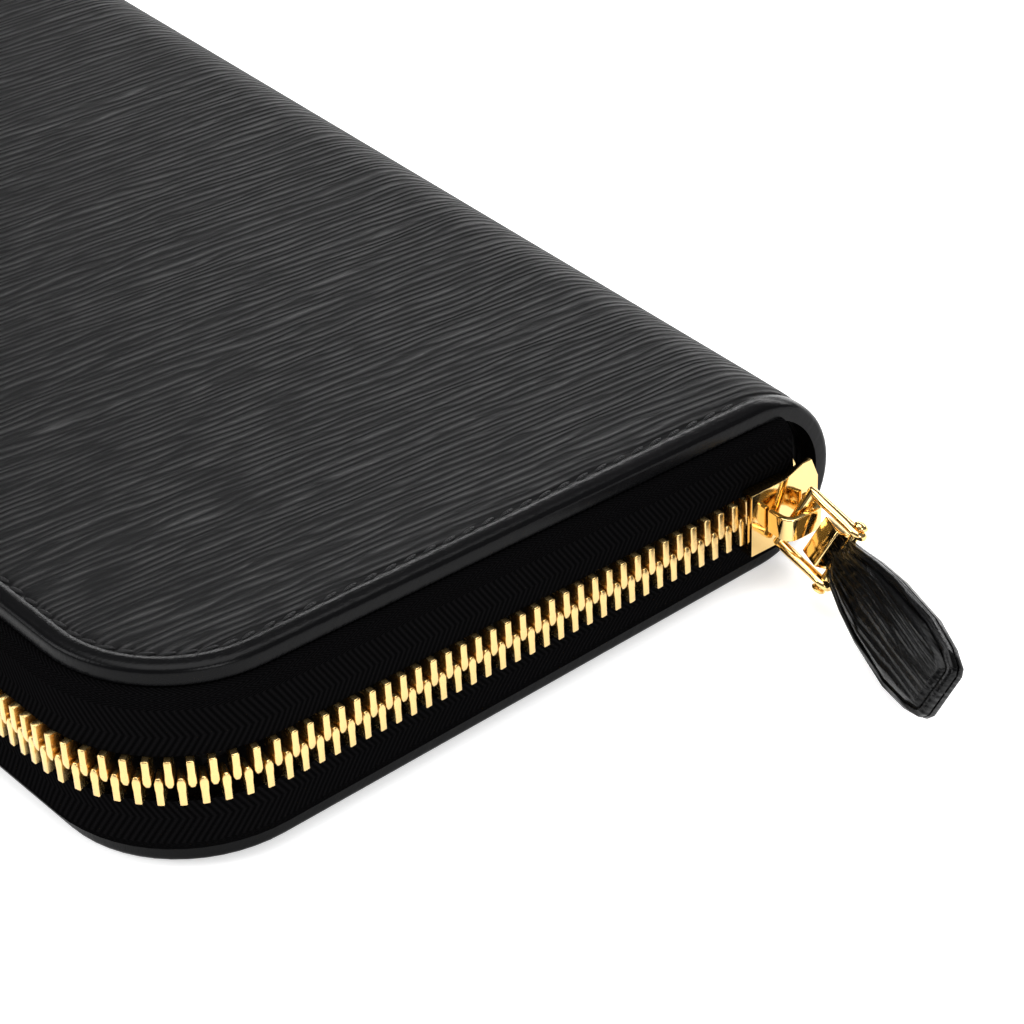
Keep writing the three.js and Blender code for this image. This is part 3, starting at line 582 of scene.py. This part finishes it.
def set_studio():
    put_down()
    bpy.ops.mesh.primitive_plane_add(size=6, location=(0, 0, -0.0002))
    floor = dress(settle(named("floor")), studio_floor())
    world = bpy.data.worlds.new("studio")
    bpy.context.scene.world = world
    world.use_nodes = True
    sky = next(n for n in world.node_tree.nodes if n.type == "BACKGROUND")
    sky.inputs[0].default_value, sky.inputs[1].default_value = (1, 1, 1, 1), 0.2
    soft_light("overhead", (0.1, 0.05, 1.1), (0.05, 0, 0), 1.1, 16.0)
    soft_light("left_bank", (-0.35, -0.75, 0.55), (0.05, 0, 0.01), 0.5, 5.0)
    soft_light("right_bank", (0.95, -0.15, 0.4), (0.1, 0, 0.01), 0.35, 3.5)
    soft_light("back_strip", (-0.35, 0.75, 0.28), (0.0, 0.05, 0.01), 1.2, 4.2, 0.12)
    bpy.context.scene.view_settings.view_transform = "Standard"


# ---- covers -------------------------------------------------------------------------------------
def cover_sheet(name):
    """One cover and its quarter of the spine, outer face up at height 0."""
    put_down()
    reach = 60.0
    bpy.ops.mesh.primitive_plane_add(size=1)
    piece = named(name)
    bpy.ops.object.mode_set(mode="EDIT")
    bpy.ops.transform.resize(value=(2 * END_X * MM, (SPINE_Y - OPENING_Y + reach) * MM, 1))
    bpy.ops.transform.translate(value=(0, reach / 2 * MM, -EDGE_T * MM))
    choose(piece, "VERT", lambda c: c.y < 0)
    bpy.ops.mesh.bevel(offset=CORNER_R * MM, offset_type="OFFSET", segments=ROUND_STEPS,
                       affect="VERTICES")
    choose(piece, "FACE", lambda c, n: True)
    bpy.ops.mesh.extrude_region_move(TRANSFORM_OT_translate={"value": (0, 0, (EDGE_T - RIM_WALL) * MM)})
    for width, rise in RIM_RINGS:
        bpy.ops.mesh.inset(thickness=width * MM, depth=rise * MM, use_even_offset=True)
    choose(piece, "FACE", lambda c, n: n.z < -0.9)
    bpy.ops.mesh.inset(thickness=EDGE_BAND * MM, depth=0)
    bpy.ops.mesh.inset(thickness=0.2 * MM, depth=-(EDGE_T - SKIN_T) * MM)
    bpy.ops.mesh.select_all(action="SELECT")
    bpy.ops.mesh.bisect(plane_co=(0, SPINE_TURN * MM, 0), plane_no=(0, 1, 0), clear_outer=True)
    choose(piece, "EDGE", lambda c: abs(c.y - SPINE_TURN * MM) < 1e-6)
    bpy.ops.mesh.spin(steps=ROUND_STEPS, angle=math.pi / 2, axis=(1, 0, 0),
                      center=(0, SPINE_TURN * MM, -SPINE_R * MM))
    choose(piece, "EDGE", lambda c: abs(c.z + SPINE_R * MM) < 1e-6 and c.y > SPINE_TURN * MM)
    bpy.ops.mesh.edge_face_add()
    finish_edit(piece, outwards=True)
    attribute(piece, "edge", lambda x, y, z: -round_edge(x, min(y, SPINE_TURN))[1])
    return piece


def rim_stitches(name):
    """Slanting sunken stitches along the cover's edge, round to the start of the spine."""
    put_down()
    bpy.ops.mesh.primitive_uv_sphere_add(segments=8, ring_count=6, radius=1)
    stitch = named(name + "_stitch")
    stitch.data.transform(Matrix.Diagonal((*(half * MM for half in STITCH_HALF), 1)))
    start = SPINE_R + 2.5
    count = round((EDGE_RUN - 2 * start) / STITCH_PITCH)
    places = []
    for i in range(count + 1):
        run = start + (EDGE_RUN - 2 * start) * i / count
        x, y, nx, ny = on_edge(run, -STITCH_IN)
        heading = math.atan2(-nx, ny)
        places.append(Matrix.Translation(Vector((x, y, -STITCH_SINK)) * MM)
                      @ Matrix.Rotation(heading + STITCH_LEAN, 4, "Z"))
    return smooth(copies(name, stitch, places), 60)


def spine_bend():
    """Two places: where a sheet's bend from its half to the coin section starts and ends."""
    return (0, BEND_START * MM, SPINE_R * MM), (0, SPINE_Y * MM, SPINE_R * MM)


def make_covers():
    for side, put in (("back", in_back), ("front", in_front)):
        cover = dress(smooth(put(cover_sheet(side + "_leather")), 40), LEATHER)
        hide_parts(side + "_cover_leather")
        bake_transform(cover)
        stitches = dress(put(rim_stitches(side + "_rim_stitches")), THREAD)
        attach(stitches, side + "_half")


# ---- main zip -----------------------------------------------------------------------------------
def run_round(name, section, end_y):
    """A closed section, given as distances outside the cover's edge and heights, run along that edge."""
    put_down()
    bpy.ops.mesh.primitive_circle_add(vertices=len(section), radius=1)
    piece = named(name)
    for v, (out, height) in zip(piece.data.vertices, section):
        v.co = Vector((END_X + out, end_y, height)) * MM
    arc_x, arc_y = ARC_X * MM, ARC_Y * MM
    take(piece)
    bpy.ops.object.mode_set(mode="EDIT")
    bpy.ops.mesh.select_mode(type="EDGE")
    bpy.ops.mesh.select_all(action="SELECT")
    side = (end_y * MM - arc_y) / STRAIGHT_STEPS
    for _ in range(STRAIGHT_STEPS):
        bpy.ops.mesh.extrude_region_move(TRANSFORM_OT_translate={"value": (0, -side, 0)})
    bpy.ops.mesh.spin(steps=ROUND_STEPS, angle=math.pi / 2, axis=(0, 0, 1), center=(arc_x, arc_y, 0))
    for _ in range(2):
        bpy.ops.mesh.extrude_region_move(TRANSFORM_OT_translate={"value": (-arc_x, 0, 0)})
    bpy.ops.mesh.spin(steps=ROUND_STEPS, angle=math.pi / 2, axis=(0, 0, 1), center=(-arc_x, arc_y, 0))
    for _ in range(STRAIGHT_STEPS):
        bpy.ops.mesh.extrude_region_move(TRANSFORM_OT_translate={"value": (0, side, 0)})
    bpy.ops.mesh.edge_face_add()
    choose(piece, "EDGE", lambda c: abs(c.y - end_y * MM) < 1e-6 and c.x > 0)
    bpy.ops.mesh.edge_face_add()
    return finish_edit(piece, outwards=True)


def zip_tape(up, name):
    """One tape, folded from the seam under the cover out to the teeth."""
    piece = run_round(name, TAPE_SECTION, SPINE_TURN + TAPE_PAST)

    def lie(x, y, z):
        run, out = round_edge(x, y)
        return run, out - TAPE_SECTION[0][0] + z * 2.4

    lay_uv(piece, lie)

    def rise(x, y, z):
        if y > SPINE_TURN and abs(x) < END_X - TAPE_LIP:     # the sewn-in part stops before the bend
            y = BEND_START - 0.15
        seam = TAPE_Z if up > 0 else lifted(y, SPINE_T - TAPE_Z)
        edge = chain_z(y) - up * (CHAIN_HALF + 0.1)
        fold = seam + up * TAPE_FOLD
        height = seam + up * z if z <= TAPE_FOLD else fold + (edge - fold) * (z - TAPE_FOLD)
        return x, y, height

    reshape(piece, rise)
    if up < 0:
        turn_over(piece)
    return smooth(piece, 50)


def tooth_model():
    """One stamped tooth: a leg clamped on the tape's cord and a wider rounded head."""
    put_down()
    bpy.ops.mesh.primitive_cube_add(size=1)
    tooth = named("tooth")
    bpy.ops.object.mode_set(mode="EDIT")
    bpy.ops.transform.resize(value=(TOOTH_W * MM, TOOTH_DEPTH * MM, LEG_H * MM))
    bpy.ops.transform.translate(value=(0, 0, -(CHAIN_HALF - LEG_H / 2) * MM))
    top = -(CHAIN_HALF - LEG_H) * MM
    choose(tooth, "FACE", lambda c, n: n.z > 0.9 and c.z > top - 1e-6)
    bpy.ops.mesh.extrude_region_move(TRANSFORM_OT_translate={"value": (0, 0, SHOULDER_H * MM)})
    bpy.ops.transform.resize(value=(1.14, 1, 1))
    bpy.ops.mesh.extrude_region_move(TRANSFORM_OT_translate={"value": (0, 0, HEAD_H * MM)})
    bpy.ops.mesh.extrude_region_move(TRANSFORM_OT_translate={"value": (0, 0, TIP_H * MM)})
    bpy.ops.transform.resize(value=(0.55, 0.9, 1))
    finish_edit(tooth, outwards=True)
    return smooth(soften(tooth, 0.16, 2, 25), 60)


def tooth_row(up, name):
    start = SPINE_Y - SLIDER_Y + 1.5
    end = EDGE_RUN - (SPINE_R - TAPE_PAST) - 2.8
    count = int((end - start) / TOOTH_PITCH)
    model = tooth_model()
    places = []
    for i in range(count):
        run = start + (i + (0.0 if up > 0 else 0.5)) * TOOTH_PITCH
        x, y, nx, ny = on_edge(run, CHAIN_U)
        heading = math.atan2(-nx, ny)
        over = Matrix.Rotation(0 if up > 0 else math.pi, 4, "Y")
        places.append(Matrix.Translation(Vector((x, y, chain_z(y))) * MM)
                      @ Matrix.Rotation(heading, 4, "Z") @ over)
    return copies(name, model, places)


def end_stop(up, name):
    """The crimped stop past the last tooth."""
    node = "zip_stop_lower" if up > 0 else "zip_stop_upper"
    piece = soften(merged_copy(node, name), 0.35, 3)
    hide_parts(node)
    return smooth(piece, 60)


def make_zip():
    for up, half, word in ((1, "back_half", "lower"), (-1, "front_half", "upper")):
        tape = dress(zip_tape(up, word + "_tape"), TAPE)
        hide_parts("zip_tape_" + word)
        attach(tape, half)
        teeth = dress(tooth_row(up, word + "_teeth"), TEETH_GOLD)
        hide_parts("zip_teeth_" + word)
        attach(teeth, half)
        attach(dress(end_stop(up, word + "_end_stop"), GOLD), half)


# ---- slider and pull ----------------------------------------------------------------------------
def polished(node, name, body, width):
    """A cast piece with its edges eased and polished."""
    piece = smooth(soften(merged_copy(node, name), width, 3), 40)
    dress(piece, GOLD)
    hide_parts(node)
    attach(piece, body)
    return piece


def drawn_bar(name, stations):
    """An oval bar drawn along X through stations: the place, half the height and half the width."""
    put_down()
    x, high, wide = stations[0]
    bpy.ops.mesh.primitive_circle_add(vertices=BAR_SIDES, radius=1, fill_type="NGON",
                                      rotation=(0, math.pi / 2, 0))
    piece = settle(named(name))
    take(piece)
    bpy.ops.object.mode_set(mode="EDIT")
    bpy.ops.mesh.select_mode(type="FACE")
    bpy.ops.mesh.select_all(action="SELECT")
    bpy.ops.transform.resize(value=(1, high * MM, wide * MM))
    bpy.ops.transform.translate(value=(x * MM, 0, 0))
    for (x0, high0, wide0), (x1, high1, wide1) in zip(stations, stations[1:]):
        bpy.ops.mesh.extrude_region_move(TRANSFORM_OT_translate={"value": ((x1 - x0) * MM, 0, 0)})
        bpy.ops.transform.resize(value=(1, high1 / high0, wide1 / wide0))
    return smooth(finish_edit(piece, outwards=True), 50)


def as_one(name, pieces):
    take(pieces[0])
    for piece in pieces:
        piece.select_set(True)
    bpy.ops.object.join()
    return named(name)


def moved(piece, turn):
    """Turned and set down in millimetres."""
    to_metres = Matrix.Diagonal((MM, MM, MM, 1))
    piece.data.transform(to_metres @ turn @ to_metres.inverted())
    piece.data.update()
    return piece


def stirrup_model():
    """A round bar through the slider's crown and two oval arms that end in round eyes."""
    sideways = Matrix.Rotation(-math.pi / 2, 4, "Y")
    bar = moved(drawn_bar("stirrup_bar", [(-BAR_END, BAR_R, BAR_R), (BAR_END, BAR_R, BAR_R)]), sideways)
    arms = []
    for side in (1, -1):
        arm = drawn_bar("stirrup_arm", ARM_STATIONS)
        arms.append(moved(arm, Matrix.Translation((0, 0, side * ARM_OUT))))
    return as_one("stirrup", [bar] + arms)


def pin_model():
    """A pin with a domed head at each end."""
    stations = [(-x, high, wide) for x, high, wide in reversed(PIN_STATIONS)] + PIN_STATIONS
    pin = drawn_bar("stirrup_pin", stations)
    return moved(pin, Matrix.Translation((PIN_X, 0, 0)) @ Matrix.Rotation(-math.pi / 2, 4, "Y"))


def pull_place(tab=True):
    """From the pull's own lines, X along it and Z across it, to its place at rest."""
    pivot = Vector((PIVOT_X, SLIDER_Y, chain_z(SLIDER_Y)))
    turn = (Matrix.Rotation(PULL_YAW, 4, "Z") @ Matrix.Rotation(PULL_DROOP, 4, "Y")
            @ Matrix.Rotation(PULL_TILT, 4, "X"))
    pin = Matrix.Translation((PIN_X, 0, 0)) @ Matrix.Rotation(TAB_YAW, 4, "Z")
    return Matrix.Translation(pivot) @ turn @ (pin if tab else Matrix.Identity(4))


def tab_side(name, side):
    """One leather of the pull: a shaped blank, bevelled at its edge, with a raised padded field."""
    neck, throat, wide, tip, start, end = 1.95, 2.75, 5.4, 3.0, -4.2, 27.1
    half = [(start, neck), (-0.8, neck), (0.1, throat), (2, throat + 0.3), (6, throat + 1.3),
            (11, wide - 0.5), (end - 8, wide), (end - 3.2, wide - 0.6), (end - 0.6, tip + 0.9), (end, tip)]
    outline = half + [(x, -w) for x, w in reversed(half)]
    put_down()
    bpy.ops.mesh.primitive_circle_add(vertices=len(outline), radius=1, fill_type="NGON")
    piece = named(name)
    for v, (x, w) in zip(piece.data.vertices, outline):
        v.co = Vector((x, w, 0.15)) * MM
    finish_edit(piece, outwards=True)
    take(piece)
    bpy.ops.object.mode_set(mode="EDIT")
    choose(piece, "FACE", lambda c, n: n.z < 0)
    bpy.ops.mesh.flip_normals()
    choose(piece, "FACE", lambda c, n: True)
    bpy.ops.mesh.extrude_region_move(TRANSFORM_OT_translate={"value": (0, 0, 0.62 * MM)})
    for width, rise in TAB_RINGS:
        bpy.ops.mesh.inset(thickness=width * MM, depth=rise * MM, use_even_offset=True)
    finish_edit(piece, outwards=True)
    lay_uv(piece, lambda x, w, t: (x, w * (1.0 + max(0.0, 8.0 - x) * 0.07)))
    turn = Matrix.Rotation(side * -math.pi / 2, 4, "X")

    def neck_in(x, w, t):
        squeeze = min(1.0, max(0.0, (x - 0.2) / 2.2))
        squeeze = squeeze * squeeze * (3 - 2 * squeeze)
        return x, w, t * (0.5 + 0.5 * squeeze) if t > 0.15 else t

    reshape(piece, neck_in)
    return smooth(moved(piece, pull_place() @ turn), 50)


def make_pull():
    polished("slider_body", "slider_plates", "zip_slider", 0.22)
    polished("slider_crown", "slider_bridge", "zip_slider", 0.18)
    for node, model in (("pull_stirrup", stirrup_model()), ("pull_pin", pin_model())):
        piece = dress(moved(model, pull_place(tab=False)), GOLD)
        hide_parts(node)
        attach(piece, "pull_stirrup")
    polished("pull_ferrule", "ferrule", "pull_tab", 0.22)
    for side, word in ((1, "front"), (-1, "back")):
        tab = dress(tab_side("tab_" + word, side), TAB)
        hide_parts("pull_tab_" + word)
        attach(tab, "pull_tab")


# ---- inside -------------------------------------------------------------------------------------
def lined(node, name, body, finish, width, blend=None):
    """A thin inner piece with its cut edges rounded over."""
    piece = smooth(soften(merged_copy(node, name), width, 2), 40)
    dress(piece, finish)
    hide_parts(node)
    if blend:
        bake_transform(piece)
    else:
        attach(piece, body)
    return piece


def make_inside():
    for side in ("back", "front"):
        half = side + "_half"
        lined(side + "_lining", side + "_half_lining", half, LINING, 0.2, spine_bend())
        for i in (1, 2, 3):
            lined("%s_card_panel_%d" % (side, i), "%s_card_slot_%d" % (side, i), half, PANEL,
                  0.16)
        for hand in ("left", "right"):
            low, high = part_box("%s_gusset_%s" % (side, hand))
            z = (low[2], high[2]) if side == "back" else (high[2], low[2])
            y = (low[1] + high[1]) / 2
            lined("%s_gusset_%s" % (side, hand), "%s_side_fold_%s" % (side, hand), half, LINING,
                  0.1, ((0, y, z[0]), (0, y, z[1])))
        lined("coin_%s_wall" % side, "coin_%s_panel" % side, "coin_section", LINING, 0.2)
        lined("coin_tape_" + side, "coin_%s_tape" % side, "coin_section", CLOTH, 0.1)
        lined("coin_coil_" + side, "coin_%s_coil" % side, "coin_section", COIL, 0.3)
        dress(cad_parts[side + "_board"], BOARD)
    lined("coin_side_strip", "coin_side_walls", "coin_section", LINING, 0.15)
    polished("coin_stop_left", "coin_left_stop", "coin_section", 0.2)
    polished("coin_stop_right", "coin_right_stop", "coin_section", 0.2)
    polished("coin_slider_body", "coin_slider_plates", "coin_slider", 0.15)
    polished("coin_slider_crown", "coin_slider_bridge", "coin_slider", 0.14)
    polished("coin_pull_tag", "coin_tag", "coin_pull", 0.18)


set_camera()
set_studio()
make_covers()
make_zip()
make_pull()
make_inside()
for spare in [m for m in bpy.data.meshes if not m.users]:
    bpy.data.meshes.remove(spare)
